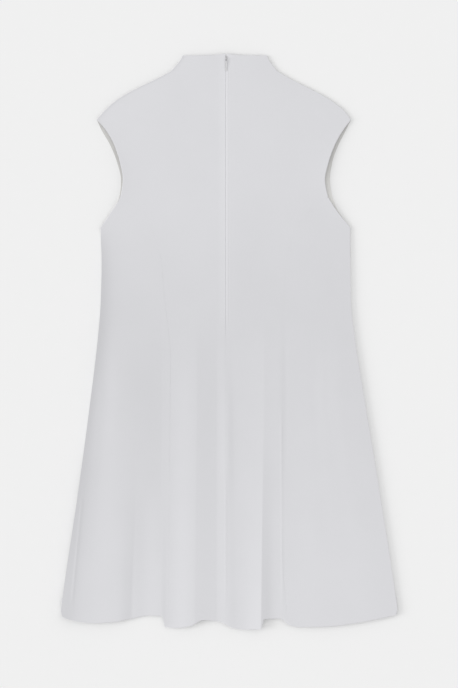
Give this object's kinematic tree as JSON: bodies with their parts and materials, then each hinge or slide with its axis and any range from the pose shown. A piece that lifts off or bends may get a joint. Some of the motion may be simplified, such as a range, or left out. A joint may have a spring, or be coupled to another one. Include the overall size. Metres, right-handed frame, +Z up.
{
  "type": "skater dress",
  "caption": "Sleeveless flared dress with a funnel neck, laid flat with its back up, with a concealed zip and princess seams.",
  "frame": {"origin": "middle of the flat underside, at the centre of the dress's plan", "axes": "+Y towards the neck, +X to the right of the view from above, +Z up, away from the surface the dress lies on"},
  "size_m": [0.5796, 0.9942, 0.0129],
  "materials": {
    "crepe": "white crepe, matte, with a fine pebbled grain",
    "tape": "white woven zip tape, matte",
    "metal": "satin silver metal"
  },
  "bodies": {
    "dress": {"front": "crepe", "centre_back_left": "crepe", "centre_back_right": "crepe", "side_back_left": "crepe", "side_back_right": "crepe", "zip_tape": "tape", "zip_slider": "metal"},
    "pull_tab": {"zip_pull": "metal"}
  },
  "joints": [
    {"name": "pull_hinge", "type": "hinge", "parent": "dress", "child": "pull_tab", "pos_m": [-0.0056, 0.48787, 0.00644], "axis": [-1, 0, 0], "range_deg": [0, 165]}
  ]
}
